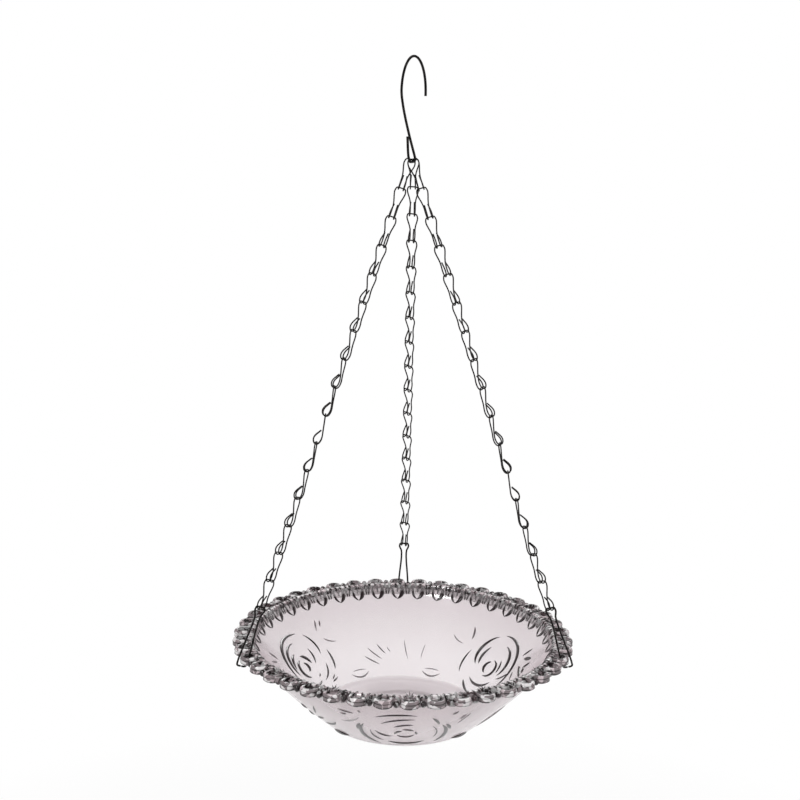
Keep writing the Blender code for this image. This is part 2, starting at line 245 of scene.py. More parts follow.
def pressed_glass(name, face, edge, clear, roughness, ripple, glint_share, gloss):
    """Pressed soda glass, faintly pink: pale where it faces the eye and dark where it turns away.

    clear is the share of the light that passes; the rest is scattered by the moulded surface.
    The next to last argument is the share of the colour that painted glints take over, and gloss is the
    specular level.
    """
    material, tree, shader = new_material(name)
    place = add_node(tree, "ShaderNodeTexCoord").outputs["Object"]
    away = add_node(tree, "ShaderNodeLayerWeight", {"Blend": 0.5}).outputs["Facing"]
    stops = ((DARKENS_FROM, face), (DARKEST, edge))
    colour = add_node(tree, "ShaderNodeValToRGB", links={"Fac": away}, stops=stops).outputs["Color"]
    # Painted glints for the glasses that take them, else painted shade that darkens the glass near the rim
    if glint_share:
        blend = {"data_type": "RGBA", 0: glint_share}
        over = painted_glint_colour(tree, place)
    else:
        blend = {"data_type": "RGBA", "blend_type": "MULTIPLY", 0: 1.0}
        over = painted_rim_shade(tree, place)
    # Inputs 6 and 7 and output 2 of a mix are its colours
    mix = add_node(tree, "ShaderNodeMix", blend, {6: colour, 7: over})
    tree.links.new(mix.outputs[2], shader.inputs["Base Color"])
    # Less light passes where the glass turns away
    reach = {"From Min": CLOSES_FROM, "From Max": DARKEST, "To Min": clear, "To Max": EDGE_PASSES * clear}
    passing = add_node(tree, "ShaderNodeMapRange", reach, {"Value": away})
    tree.links.new(passing.outputs["Result"], shader.inputs["Transmission Weight"])
    shader.inputs["IOR"].default_value = GLASS_IOR
    shader.inputs["Specular IOR Level"].default_value = gloss
    shader.inputs["Roughness"].default_value = roughness
    pattern = {"Scale": 1 / (MOULD_WAVE * MM), "Detail": 1.0}
    waves = add_node(tree, "ShaderNodeTexNoise", pattern, {"Vector": place})
    relief = {"Strength": ripple, "Distance": MOULD_DEPTH * MM}
    bump = add_node(tree, "ShaderNodeBump", relief, {"Height": waves.outputs["Fac"]})
    tree.links.new(bump.outputs["Normal"], shader.inputs["Normal"])
    return material


# Patterns of the wire, in millimetres: patches of scale, and draw marks, drawn coarse enough to show
SCALE_PATCH = 3.03
DRAW_MARK = 0.4
DRAW_DEPTH = 0.2
DRAW_STRENGTH = 0.12
# How much smoother and rougher than the wire the scale is
SCALE_ROUGHNESS = (-0.08, 0.1)
WIRE_METALLIC = 0.9


def dark_wire(name, dark, bright, roughness):
    """Oiled black steel wire: drawn smooth, with a thin scale that wears grey in patches."""
    material, tree, shader = new_material(name)
    shader.inputs["Metallic"].default_value = WIRE_METALLIC
    place = add_node(tree, "ShaderNodeTexCoord").outputs["Object"]
    pattern = {"Scale": 1 / (SCALE_PATCH * MM), "Detail": 4.0}
    scale = add_node(tree, "ShaderNodeTexNoise", pattern, {"Vector": place}).outputs["Fac"]
    stops = ((0.35, dark), (0.75, bright))
    colour = add_node(tree, "ShaderNodeValToRGB", links={"Fac": scale}, stops=stops)
    tree.links.new(colour.outputs["Color"], shader.inputs["Base Color"])
    smoother, rougher = SCALE_ROUGHNESS
    reach = {"To Min": roughness + smoother, "To Max": roughness + rougher}
    rough = add_node(tree, "ShaderNodeMapRange", reach, {"Value": scale})
    tree.links.new(rough.outputs["Result"], shader.inputs["Roughness"])
    grain = add_node(tree, "ShaderNodeTexNoise", {"Scale": 1 / (DRAW_MARK * MM)}, {"Vector": place})
    relief = {"Strength": DRAW_STRENGTH, "Distance": DRAW_DEPTH * MM}
    bump = add_node(tree, "ShaderNodeBump", relief, {"Height": grain.outputs["Fac"]})
    tree.links.new(bump.outputs["Normal"], shader.inputs["Normal"])
    return material


def show(name, points, faces, materials, body):
    """Makes a piece from points in millimetres and blocks of faces, and lets it ride on a body."""
    mesh = bpy.data.meshes.new(name)
    all_faces = [face for block in faces for face in block.tolist()]
    mesh.from_pydata((np.asarray(points) * MM).tolist(), [], all_faces)
    mesh.validate()
    mesh.polygons.foreach_set("use_smooth", np.ones(len(mesh.polygons), bool))
    for material in materials:
        mesh.materials.append(material)
    piece = bpy.data.objects.new(name, mesh)
    bpy.context.scene.collection.objects.link(piece)
    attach(piece, body)
    return piece


def show_glass(name, shape, materials):
    """Makes a piece of the bowl from a shape about the rim's middle."""
    points, faces = shape
    return show(name, points + [0, 0, RIM_Z], faces, materials, "glass_bowl")


def paint(piece, choose):
    """Gives each face the number of its material, which choose() finds from its middle and its normal.

    The middles are in millimetres about the rim's middle.
    """
    mesh = piece.data
    middle = np.empty(3 * len(mesh.polygons))
    normal = np.empty(3 * len(mesh.polygons))
    mesh.polygons.foreach_get("center", middle)
    mesh.polygons.foreach_get("normal", normal)
    middle = middle.reshape(-1, 3) / MM - [0, 0, RIM_Z]
    number = choose(middle, normal.reshape(-1, 3))
    mesh.polygons.foreach_set("material_index", number.astype(np.int32))


def grid_faces(rows, columns):
    """Quads of a grid of rows by columns, closed around its columns."""
    row, column = np.meshgrid(np.arange(rows - 1), np.arange(columns), indexing="ij")
    here = row * columns + column
    beside = row * columns + (column + 1) % columns
    return np.stack([here, beside, beside + columns, here + columns], -1).reshape(-1, 4)


def tube_faces(rows, columns):
    """Faces of a tube of rings: a block of its quads and a block of its two end caps."""
    ring = np.arange(columns)
    return [grid_faces(rows, columns), np.stack([ring[::-1], (rows - 1) * columns + ring])]


def flipped(faces):
    """The same faces, turned to look the other way."""
    return [block[:, ::-1] for block in faces]


def joined(shapes):
    """Several shapes as one set of points and blocks of faces."""
    points, faces, start = [], [], 0
    for shape_points, shape_faces in shapes:
        points.append(shape_points)
        faces += [block + start for block in shape_faces]
        start += len(shape_points)
    return np.concatenate(points), faces


def spun(points, faces, angles):
    """Copies of a shape turned about Z, as one shape."""
    copies = []
    for angle in angles:
        c, s = math.cos(angle), math.sin(angle)
        copies.append((points @ np.array([[c, s, 0], [-s, c, 0], [0, 0, 1]]), faces))
    return joined(copies)


def cut_corners(points, rounds):
    """Rounds a path's corners: each one gives way to points a quarter along its two sides."""
    p = np.asarray(points, float)
    for _ in range(rounds):
        start, end = p[:-1], p[1:]
        cut = np.stack([0.75 * start + 0.25 * end, 0.25 * start + 0.75 * end], 1)
        p = np.concatenate([p[:1], cut.reshape(-1, p.shape[1]), p[-1:]])
    return p


def directions(path):
    """Unit directions along a path, at its points."""
    tangent = np.gradient(path, axis=0)
    return tangent / np.linalg.norm(tangent, axis=1)[:, None]


# A direction that no wire starts along
ASKEW = (0.31, 0.52, 0.79)


def wire(path, diameter, sides):
    """Round wire along a path: rings of points in a frame that turns with the path and doesn't roll."""
    p = np.asarray(path, float)
    tangent = directions(p)
    normal = np.zeros_like(p)
    normal[0] = unit(np.cross(tangent[0], ASKEW))
    # Each normal is the one before it, made square to the path
    for k in range(1, len(p)):
        normal[k] = unit(normal[k - 1] - tangent[k] * normal[k - 1].dot(tangent[k]))
    other = np.cross(tangent, normal)
    turn = np.linspace(0, 2 * math.pi, sides, endpoint=False)
    ring = normal[:, None] * np.cos(turn)[:, None] + other[:, None] * np.sin(turn)[:, None]
    points = (p[:, None] + ring * diameter / 2).reshape(-1, 3)
    return points, tube_faces(len(p), sides)


def mirrored(half):
    """Full path from the half at +X, listed from the middle out."""
    half = np.asarray(half, float)
    return np.concatenate([half[::-1] * [-1, 1, 1], half])


# Points of the crook and of an arch, and rounds of corner cutting and sides of the wires
CROOK_STEPS = 25
ARCH_STEPS = 4
WIRE_ROUNDS = 2
HOOK_SIDES = 14
LINK_SIDES = 10
CLIP_SIDES = 12
# Points of the hook's shank, as shares of its length, and its bow, as a share of the crook's half width
SHANK_PLACES = (0.16, 0.5)
SHANK_BOW = 0.05
# Height of the eye's widest place, and where a sharp bend is cut, in wire diameters
EYE_WIDEST = 2.6
BEND_CUT = 0.3
# Flat bottom of a link's hook, as a share of its loop
LINK_HOOK_FLAT = 0.55


def quarter_arch(bar_half, half_width, drop):
    """Quarter ellipse from the end of a crossbar out and down."""
    t = np.linspace(0, math.pi / 2, ARCH_STEPS)
    return np.stack([bar_half + (half_width - bar_half) * np.sin(t), -drop * (1 - np.cos(t)), 0 * t], 1)


def hook_path():
    """Tip, half-ellipse crook, shank, and the eye in a plane turned about Z."""
    bend_z = HOOK_WIRE / 2 - HOOK_BEND_RISE
    t = np.linspace(0, math.pi, CROOK_STEPS)
    crook = np.stack([HOOK_HALF * np.cos(t), 0 * t, bend_z + HOOK_BEND_RISE * np.sin(t)], 1)
    tip = [[HOOK_HALF, 0, bend_z - HOOK_TIP]]
    top = np.array([-EYE_LEAN, 0, EYE_Z + EYE_RISE])
    run = (top - crook[-1]) * np.array(SHANK_PLACES)[:, None]
    shank = crook[-1] + run - [SHANK_BOW * HOOK_HALF, 0, 0]
    widest = EYE_WIDEST * HOOK_WIRE
    middle = np.array([-EYE_LEAN * widest / EYE_RISE, 0, EYE_Z + widest])
    low = np.array([0, 0, EYE_Z])
    cut = BEND_CUT * HOOK_WIRE
    places = np.array([top, middle, low + [0, 0, HOOK_WIRE], low + [0, 0, cut], low])
    neck = HOOK_WIRE / 2 + CLEARANCE
    reach = np.array([neck, EYE_HALF, EYE_HALF, EYE_HALF - cut, EYE_HALF - HOOK_WIRE])
    near_side = places + EYE_ALONG * reach[:, None]
    # The wire's end stands clear of the shank
    reach[0] += CLEARANCE
    far_side = places - EYE_ALONG * reach[:, None]
    return np.concatenate([tip, crook, shank, near_side, far_side[::-1]])


def link_path():
    """Crossbar, arch, legs that draw in, and hooks, about the middle of the crossbar in the hooks."""
    loop_z = (LINK_LOOP - LINK_WIRE) / 2
    lean = loop_z / (LINK_PITCH - LINK_LOOP_RISE)
    arch = quarter_arch(LINK_BAR_HALF, (LINK_WIDTH - LINK_WIRE) / 2, LINK_SHOULDER)
    legs = [[LINK_HOOK_X, -LINK_NECK_DROP, 0], [LINK_HOOK_X, LINK_LOOP_RISE - LINK_PITCH, 0]]
    half = np.concatenate([arch, legs])
    half[:, 2] = lean * half[:, 1]
    low = -LINK_PITCH - LINK_SEAT
    tail = LINK_PITCH - LINK_TAIL_RISE
    hook = [
        [LINK_HOOK_X, low, -LINK_HOOK_FLAT * loop_z],
        [LINK_HOOK_X, low, LINK_HOOK_FLAT * loop_z],
        [LINK_HOOK_X, LINK_LOOP_RISE - LINK_PITCH, loop_z],
        [LINK_HOOK_X - LINK_WIRE / 2, -tail, LINK_SEAT - lean * tail],
    ]
    return mirrored(np.concatenate([half, hook])) + [0, LINK_PITCH, 0]


def clip_path():
    """Eye, neck, legs that spread, and feet that turn in, about the middle of the rim bar in them."""
    leg_x = BAR_ACROSS + CLIP_WIRE / 2 + CLIP_PLAY
    foot_y = -BAR_DOWN - CLIP_WIRE / 2 - CLIP_PLAY
    cut = BEND_CUT * CLIP_WIRE
    eye = quarter_arch(LINK_BAR_HALF + CLIP_SEAT_SHIFT, (CLIP_EYE_WIDTH - CLIP_WIRE) / 2, CLIP_EYE_DROP)
    eye = np.concatenate([eye, [[CLIP_NECK / 2, -CLIP_NECK_DROP, 0]]]) + [0, CLIP_LENGTH, 0]
    legs = [
        [leg_x, BAR_DOWN + CLIP_WIRE, 0],
        [leg_x, foot_y + CLIP_WIRE, 0],
        [leg_x - cut, foot_y + cut, 0],
        [leg_x - CLIP_WIRE, foot_y, 0],
        [CLIP_FOOT_GAP / 2, foot_y, 0],
    ]
    return mirrored(np.concatenate([eye, legs]))


def chain_line(name):
    """Top crossbar, direction down the chain and spacing of its links."""
    span = CLIP_SEATS[name] + [0, 0, RIM_Z] - CHAIN_TOPS[name]
    length = np.linalg.norm(span)
    return CHAIN_TOPS[name], span / length, (length - CLIP_LENGTH + CLIP_SEAT_SHIFT) / LINKS


def chain_frame(across, down, turn):
    """Rows X, Y and Z of a placement whose Y runs up the chain and whose X is turned about it."""
    side = unit(np.asarray(across, float) - down * np.dot(across, down))
    front = np.cross(down, side)
    side = side * math.cos(turn) + front * math.sin(turn)
    return np.stack([side, -down, np.cross(down, side)])


def twist(name, link):
    """Turn of a link about its chain: even with the way down s, gathering as s**3, passing as a sine."""
    start, even, gathering, passing = CHAIN_TWIST[name]
    s = (link - 1) / (LINKS - 1)
    return math.radians(start + even * s + gathering * s**3 + passing * math.sin(math.pi * s))


def make_wires():
    """Hook, three chains and their clips, in round wire."""
    hook_steel = dark_wire("black_steel_hook", "#0c0b0b", "#2b2827", 0.3)
    chain_steel = dark_wire("black_steel_chain", "#100f0f", "#353130", 0.36)
    points, faces = wire(cut_corners(hook_path(), WIRE_ROUNDS), HOOK_WIRE, HOOK_SIDES)
    hook = show("hook_wire", points, faces, [hook_steel], "hook")
    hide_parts("hook")
    link_points, link_faces = wire(cut_corners(link_path(), WIRE_ROUNDS), LINK_WIRE, LINK_SIDES)
    clip_points, clip_faces = wire(cut_corners(clip_path(), WIRE_ROUNDS), CLIP_WIRE, CLIP_SIDES)
    for name in CHAIN_TWIST:
        top, down, spacing = chain_line(name)
        for link in range(1, LINKS + 1):
            node = f"link_{name}_{link:02d}"
            rows = chain_frame([1, 0, 0], down, twist(name, link))
            points = link_points @ rows + top + down * spacing * link
            piece = show(f"{node}_wire", points, link_faces, [chain_steel], node)
            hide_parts(node)
        node = f"clip_{name}"
        # The back clip grips a side bar of the lace, and the others grip an outer bar
        across = [1, 0, 0] if name == "back" else unit(CLIP_SEATS[name])
        points = clip_points @ chain_frame(across, down, 0) + CLIP_SEATS[name] + [0, 0, RIM_Z]
        piece = show(f"{node}_wire", points, clip_faces, [chain_steel], node)
        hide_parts(node)


# Steps round the shell, and points down its wall with the shares of the wall that they start and end at
SHELL_STEPS = 288
WALL_POINTS = 24
WALL_ENDS = (0.03, 0.97)
# The inner wall ends this far inside the lip, and a ring of points lies this far out on the floor
LIP_BLEND = 1.5
FLOOR_RING = 20.0
# Points that round an edge of the shell: steps out and up from the edge, in millimetres
FLOOR_EDGE = np.array([[-7.0, 0.0], [-2.5, 0.8]])
LIP_EDGE = np.array([[-0.8, -3.0], [0.3, -0.4], [1.8, 0.0]])
BEAD_EDGE = np.array([[-0.4, -0.3]])
FLANGE_EDGE = np.array([[-0.4, -0.1], [0.0, -0.7]])
FOOT_OUTER_EDGE = np.array([[0.3, 0.4], [-0.6, 0.0]])
FOOT_INNER_EDGE = np.array([[0.6, 0.0], [-0.4, 0.5]])


def wall_points(share):
    """Outer wall, from the lip down to the shoulder: a straight slope with a shallow bulge, as r and z."""
    share = np.asarray(share, float)
    top = np.array([BEAD_RADIUS, -LIP_TOP])
    run = np.array([SHOULDER_RADIUS, SHOULDER_Z]) - top
    out = np.array([-run[1], run[0]]) / np.linalg.norm(run)
    p = top + run * share[..., None] + out * (WALL_BULGE * 4 * share * (1 - share))[..., None]
    return p, out


def bowl_profile():
    """Inner floor, inner wall, rounded lip, outer wall, shoulder and foot ring, with softened corners."""
    outer, out = wall_points(np.linspace(*WALL_ENDS, WALL_POINTS))
    inner = (outer - out * BOWL_WALL)[::-1]
    inner = inner[inner[:, 0] < LIP_RADIUS - LIP_BLEND]
    flange_top = LIP_FLANGE_HEIGHT / 2
    flange = np.concatenate([[[BEAD_RADIUS, flange_top]], FLANGE_EDGE + [FLANGE_RADIUS, flange_top]])
    foot_inside = FOOT_RADIUS - FOOT_WIDTH
    stretches = [
        [[0, FLOOR_Z], [FLOOR_RING, FLOOR_Z]],
        FLOOR_EDGE + [inner[0, 0], FLOOR_Z],
        inner,
        LIP_EDGE + [LIP_RADIUS, LIP_TOP],
        BEAD_EDGE + [BEAD_RADIUS, LIP_TOP],
        flange,
        flange[::-1] * [1, -1],
        outer,
        [[SHOULDER_RADIUS, SHOULDER_Z], [FOOT_RADIUS + FOOT_RECESS, FOOT_TOP]],
        FOOT_OUTER_EDGE + [FOOT_RADIUS, -BOWL_DEPTH],
        FOOT_INNER_EDGE + [foot_inside, -BOWL_DEPTH],
        [[foot_inside - FOOT_RECESS, FOOT_TOP], [FLOOR_RING, FOOT_TOP], [0, FOOT_TOP]],
    ]
    return cut_corners(np.concatenate(stretches), 1)


def turned(profile, steps):
    """Surface of a profile of r and z points turned about Z; its two ends lie on the axis."""
    angle = np.linspace(0, 2 * math.pi, steps, endpoint=False)
    r, z = profile[1:-1, 0, None], profile[1:-1, 1, None]
    rings = np.stack([r * np.cos(angle), r * np.sin(angle), z + 0 * angle], -1).reshape(-1, 3)
    ends = [[0, 0, profile[0, 1]], [0, 0, profile[-1, 1]]]
    here = np.arange(steps)
    beside = (here + 1) % steps
    last_ring = len(rings) - steps
    first_fan = np.stack([here, beside, np.full(steps, len(rings))], 1)
    last_fan = np.stack([last_ring + beside, last_ring + here, np.full(steps, len(rings) + 1)], 1)
    return np.concatenate([rings, ends]), [*flipped([grid_faces(len(r), steps)]), first_fan, last_fan]


# Lace loops: how far they start inside the bead's edge, in millimetres, their points, sides and squareness
LOOP_ROOT = 1.0
LOOP_POINTS = 15
BAR_SIDES = 12
BAR_SQUARENESS = 3
# Moulded lines of a loop: places across its bar and up it, as shares of its width and height
LACE_LINES = ((-0.35, 0.47), (0.52, 0.16), (0.5, -0.3))
LACE_LINE_WIRE = 0.9
# Sides of the moulded lines, ribs and rays
MOULD_SIDES = 6
# Ribs over the lip, in millimetres: steps out from the lip's and the bead's edge, and down from the top
RIBS_PER_LOOP = 4
RIB_INNER = np.array([-0.7, 0.2, 1.8])
RIB_OUTER = np.array([-0.3, 0.0])
RIB_DROP = np.array([3.2, 0.9, 0.5, 0.7, 1.9])
RIB_WIDTH = 1.8
# Every second rib is wider, reaches further out and leans the other way; the lean is in radians
RIB_WIDER = 0.5
RIB_FURTHER = 0.6
RIB_LEAN = 0.008
# Stars over every third loop: turns of their rays in degrees; reach in, along the rim and up, root and
# diameter in millimetres; points of a ray and the share of its diameter that is left at its tip
STAR_EVERY = 3
STAR_TURNS = (-40, 0, 40)
STAR_REACH = (3.2, 4.6, 3.4)
STAR_ROOT = 1.0
STAR_WIRE = 1.5
STAR_POINTS = 8
STAR_TIP = 0.05
# Knots between the loops: radius, and half widths along it, round the rim and up, in millimetres
INNER_KNOT = (BEAD_RADIUS + 0.6, (2.2, 2.4, LACE_HEIGHT / 2 + 0.4))
OUTER_KNOT = (SIDE_BAR_RADIUS + 1.0, (2.6, 2.2, LACE_HEIGHT / 2 - 0.2))
# Rings and points of a ring of a knot, and the angle at which its end caps start
KNOT_RINGS = 8
KNOT_SIDES = 12
KNOT_CAP = 0.08
# Room for the back clip, in loops on each side of it
BACK_CLIP_ROOM = 0.6


def rounded_bar(path, width, height):
    """Upright bar along a flat path: each section is a squared ellipse, |x/a|^3 + |z/b|^3 = 1."""
    tangent = directions(path)
    across = np.stack([tangent[:, 1], -tangent[:, 0], 0 * tangent[:, 0]], 1)
    t = np.linspace(0, 2 * math.pi, BAR_SIDES, endpoint=False) + math.pi / BAR_SIDES
    c = np.sign(np.cos(t)) * np.abs(np.cos(t)) ** (2 / BAR_SQUARENESS)
    s = np.sign(np.sin(t)) * np.abs(np.sin(t)) ** (2 / BAR_SQUARENESS)
    points = path[:, None] + across[:, None] * (c[None, :, None] * width[:, None, None] / 2)
    points = points + np.array([0, 0, 1]) * s[None, :, None] * height / 2
    return points.reshape(-1, 3), flipped(tube_faces(len(path), BAR_SIDES))


def loop_path(offset):
    """Middle line of the lace loop at angle 0, or a line beside it: out from the bead, round and back."""
    t = np.linspace(-math.pi / 2, math.pi / 2, LOOP_POINTS)
    half = SIDE_BAR_OFFSET + offset
    end = LACE_ROUNDING - LACE_OUTER_BAR / 2 + offset
    arc = np.stack([BOWL_RADIUS - LACE_ROUNDING + end * np.cos(t), half * np.sin(t), 0 * t], 1)
    root = BEAD_RADIUS - LOOP_ROOT
    return np.concatenate([[[root, -half, 0]], arc, [[root, half, 0]]]), t


def lace_loop():
    """One lace loop at angle 0, as a bar that thickens at the outer end."""
    path, t = loop_path(0.0)
    width = LACE_SIDE_BAR + (LACE_OUTER_BAR - LACE_SIDE_BAR) * np.concatenate([[0], np.cos(t), [0]])
    return rounded_bar(path, width, LACE_HEIGHT)


def lace_lines():
    """Moulded lines of a loop: one round its hole on top, and two along its outer face."""
    shapes = []
    for across, up in LACE_LINES:
        path, _ = loop_path(across * LACE_SIDE_BAR)
        shapes.append(wire(path + [0, 0, up * LACE_HEIGHT], LACE_LINE_WIRE, MOULD_SIDES))
    return joined(shapes)


def lip_ribs():
    """Moulded ribs over the lip: each one crosses the top and runs down both sides."""
    shapes = []
    for k in range(RIBS_PER_LOOP):
        second = k % 2
        r = np.concatenate([LIP_RADIUS + RIB_INNER, BEAD_RADIUS + RIB_OUTER])
        r[-1] += RIB_FURTHER * second
        lean = RIB_LEAN * (1 - 2 * second) * np.linspace(-1, 1, len(r))
        a = LACE_STEP * (k + 0.5) / RIBS_PER_LOOP + lean
        path = np.stack([r * np.cos(a), r * np.sin(a), LIP_TOP - RIB_DROP], 1)
        shapes.append(wire(cut_corners(path, 1), RIB_WIDTH + RIB_WIDER * second, MOULD_SIDES))
    return joined(shapes)


def lace_star():
    """Rays that rise from the lip over a loop, towards the middle of the bowl, and thin to a point."""
    start = np.array([BEAD_RADIUS + STAR_ROOT, 0, LIP_TOP])
    t = np.linspace(0, 1, STAR_POINTS)[:, None]
    shapes = []
    for turn in np.radians(STAR_TURNS):
        path = start + np.array([-math.cos(turn), math.sin(turn), math.cos(turn)]) * STAR_REACH * t
        points, faces = wire(path, STAR_WIRE, MOULD_SIDES)
        middle = np.repeat(path, MOULD_SIDES, 0)
        thin = np.repeat(1 + STAR_TIP - t, MOULD_SIDES, 0)
        shapes.append((middle + (points - middle) * thin, faces))
    return joined(shapes)


def knot(radius, half):
    """Rounded boss at angle 0: an ellipsoid of three half widths, along the radius, round the rim and up."""
    v = np.linspace(KNOT_CAP, math.pi - KNOT_CAP, KNOT_RINGS)[:, None]
    u = np.linspace(0, 2 * math.pi, KNOT_SIDES, endpoint=False)
    ball = np.stack([np.sin(v) * np.cos(u), np.sin(v) * np.sin(u), np.cos(v) + 0 * u], -1)
    points = (ball * half + [radius, 0, 0]).reshape(-1, 3)
    return points, flipped(tube_faces(KNOT_RINGS, KNOT_SIDES))


def lace_knots(gaps):
    """Knots at the bead in all gaps, and further out in those that the back clip leaves free."""
    from_back = np.abs(np.angle(np.exp(1j * (gaps - math.pi / 2))))
    free_gaps = gaps[from_back > BACK_CLIP_ROOM * LACE_STEP]
    return joined([spun(*knot(*INNER_KNOT), gaps), spun(*knot(*OUTER_KNOT), free_gaps)])


# Length of the wall down its slope, as the relief is drawn on it, in millimetres
SLOPE = 78.4
# Strokes of the relief: height in millimetres, sides, points, fullness, and how short of a point they stop
STROKE_HEIGHT = 0.8
STROKE_SIDES = 10
PETAL_POINTS = 25
LINE_POINTS = 15
STROKE_FULLNESS = 0.6
STROKE_END = 0.015
# Petals of a rose: radius at start and end in mm, angles there in degrees, bend of the curve, width in mm
RIGHT_PETALS = (
    (5.0, 5.3, 112, 258, 1.0, 2.5),
    (6.6, 7.6, 92, -92, 1.0, 2.5),
    (11.8, 10.8, 55, -1, 1.0, 1.5),
    (19.3, 12.2, 130, 185, 1.0, 2.2),
    (16.9, 15.4, 233, 327, 1.0, 2.3),
    (20.8, 14.3, 85, -4, 2.2, 3.2),
    (27.4, 15.1, 116, 188, 1.5, 2.5),
    (28.5, 24.5, 102, -18, 4.0, 3.2),
    (22.1, 25.1, 232, 273, 1.0, 2.0),
    (27.9, 25.8, 166, 210, 1.0, 0.9),
    (16.8, 27.3, -12, 16, 1.0, 1.2),
    (32.0, 36.5, 19, 8, 1.0, 0.7),
)
LEFT_PETALS = (
    (4.6, 3.8, 64, -74, 1.0, 2.8),
    (7.2, 8.2, 89, 255, 1.0, 3.2),
    (10.6, 10.4, 68, 3, 1.0, 3.0),
    (13.6, 12.4, 91, 160, 1.0, 2.8),
    (22.0, 13.8, 71, 182, 1.0, 3.0),
    (31.5, 20.0, 56, 180, 0.7, 3.5),
    (21.5, 14.0, 33, -5, 1.0, 1.0),
    (33.0, 26.0, 44, 8, 1.8, 1.1),
    (23.5, 18.7, -11, -60, 1.0, 1.1),
    (34.0, 28.8, 8, -24, 1.0, 1.2),
    (15.6, 16.0, -70, -107, 1.0, 1.8),
    (28.6, 24.9, -39, -54, 1.0, 1.4),
    (26.4, 24.4, -35, -49, 1.0, 0.8),
    (13.4, 13.1, -44, -63, 1.0, 0.9),
)
FRONT_PETALS = (
    (7.6, 4.2, -26, 61, 1.0, 1.8),
    (7.1, 8.6, 163, 203, 1.0, 1.8),
    (6.8, 7.2, 70, 150, 1.0, 0.8),
    (7.6, 7.0, 208, 325, 1.0, 0.9),
    (13.5, 16.0, 52, 110, 1.0, 0.8),
    (21.1, 11.6, 6, -37, 1.0, 1.2),
    (23.5, 25.0, 43, 104, 1.0, 0.8),
    (24.5, 22.0, 8, -50, 1.0, 1.0),
    (22.0, 23.0, 150, 208, 1.0, 1.0),
    (21.5, 22.5, -58, -128, 1.0, 2.8),
    (32.0, 29.5, 23, -56, 1.0, 3.4),
    (34.2, 33.4, 20, -2, 1.0, 3.2),
    (34.4, 31.5, 52, 104, 1.0, 0.9),
    (31.6, 27.2, 125, 150, 1.0, 2.2),
    (28.5, 31.0, 156, 227, 1.0, 3.4),
    (31.5, 32.6, 156, 178, 1.0, 2.8),
)
# Leaves beside a rose: strokes from and to, in mm round the wall and down its slope, then bow and width
RIGHT_LEAVES = (
    (39.1, 25.5, 33.6, 35.9, 0.9, 1.4),
    (50.0, 35.6, 37.5, 40.9, -1.2, 0.9),
)
LEFT_LEAVES = (
    (-44.6, 19.0, -38.6, 27.7, 0.0, 0.9),
    (-48.2, 20.2, -44.7, 25.3, 0.0, 0.8),
    (-39.1, 34.9, -47.6, 39.8, -1.4, 0.8),
    (26.6, 27.8, 32.6, 18.3, 0.0, 1.4),
    (31.5, 28.0, 41.5, 22.9, 0.0, 1.8),
    (32.3, 34.4, 47.4, 37.3, 0.0, 1.6),
)
FRONT_LEAVES = (
    (-48.7, 17.4, -36.5, 20.5, 0.0, 1.2),
    (-46.9, 24.1, -41.9, 23.8, 0.0, 1.5),
    (-46.3, 37.5, -33.0, 25.9, 3.0, 1.1),
    (-33.8, 14.0, -31.6, 17.4, 0.0, 1.2),
    (32.2, 20.0, 36.6, 16.1, 0.0, 1.6),
    (37.3, 38.3, 46.4, 23.3, 0.0, 1.2),
    (38.5, 30.2, 42.9, 24.3, 0.0, 1.0),
)
RIGHT_ROSE_ANGLE = 29.0
# Roses round the wall: angle, depth of the heart down the slope, petals, leaves, and True on the inner face
ROSES = (
    (RIGHT_ROSE_ANGLE, 50.9, RIGHT_PETALS, RIGHT_LEAVES, True),
    (160.4, 49.1, LEFT_PETALS, LEFT_LEAVES, True),
    (271.7, 49.0, FRONT_PETALS, FRONT_LEAVES, False),
)
# Darker leaves on the right of the right rose, in the same form as the leaves beside a rose
RIGHT_SPRAY = (
    (-31.5, 28.0, -41.5, 22.9, 0.0, 3.2),
    (-26.6, 27.8, -32.6, 18.3, 0.0, 1.1),
    (-45.5, 24.6, -39.9, 32.4, 0.0, 2.2),
    (-40.9, 31.0, -46.3, 34.0, 0.0, 3.0),
    (-32.3, 34.4, -47.4, 37.3, 0.0, 3.6),
)
# Sprigs beside the front rose, on the outer face, in the same form
LEFT_SPRIG_ANGLE = 222.0
LEFT_SPRIG = (
    (-9.2, 47.7, -12.6, 57.3, 0.0, 3.0),
    (-4.3, 54.0, 7.3, 48.0, 0.0, 2.6),
    (-0.6, 60.1, 18.3, 48.1, 2.0, 2.4),
    (13.6, 26.7, 3.0, 43.4, 0.0, 1.2),
    (-7.4, 35.8, -6.8, 42.8, 0.0, 1.6),
)
RIGHT_SPRIG_ANGLE = 326.0
RIGHT_SPRIG = ((1.0, 38.0, -3.5, 66.0, 1.2, 2.0),)
# Oval leaves low on the outer face, in the same form: a bowed lower edge and a nearly straight upper one
OVAL_ANGLES = (69.0, 120.4, 200.4, 349.0)
OVAL = (
    (-7.5, 69.0, 7.5, 69.0, 3.6, 1.5),
    (-6.0, 67.0, 6.0, 67.0, -0.6, 0.8),
)
# Thick tips of the leaves under the front rose: angles, half length, depth, width and height
TIP_ANGLES = (226.7, 311.7)
TIP_HALF = 7.5
TIP_DEPTH = 72.5
TIP_WIDTH = 4.2
TIP_HEIGHT = 1.5
# Rays of a fan of leaves: angle from upright, near and far radius and width
FAN_ANGLES = (91.0, 211.0, 331.0)
FAN_CENTRE = (-9.5, 81.7)
FAN_BOW = 0.4
FAN_RAYS = (
    (57, 31.0, 46.0, 1.0),
    (49, 32.0, 48.0, 0.9),
    (40, 33.0, 44.5, 1.0),
    (33, 32.0, 37.0, 0.6),
    (10, 21.0, 37.5, 0.8),
    (-17, 22.5, 36.0, 0.6),
)
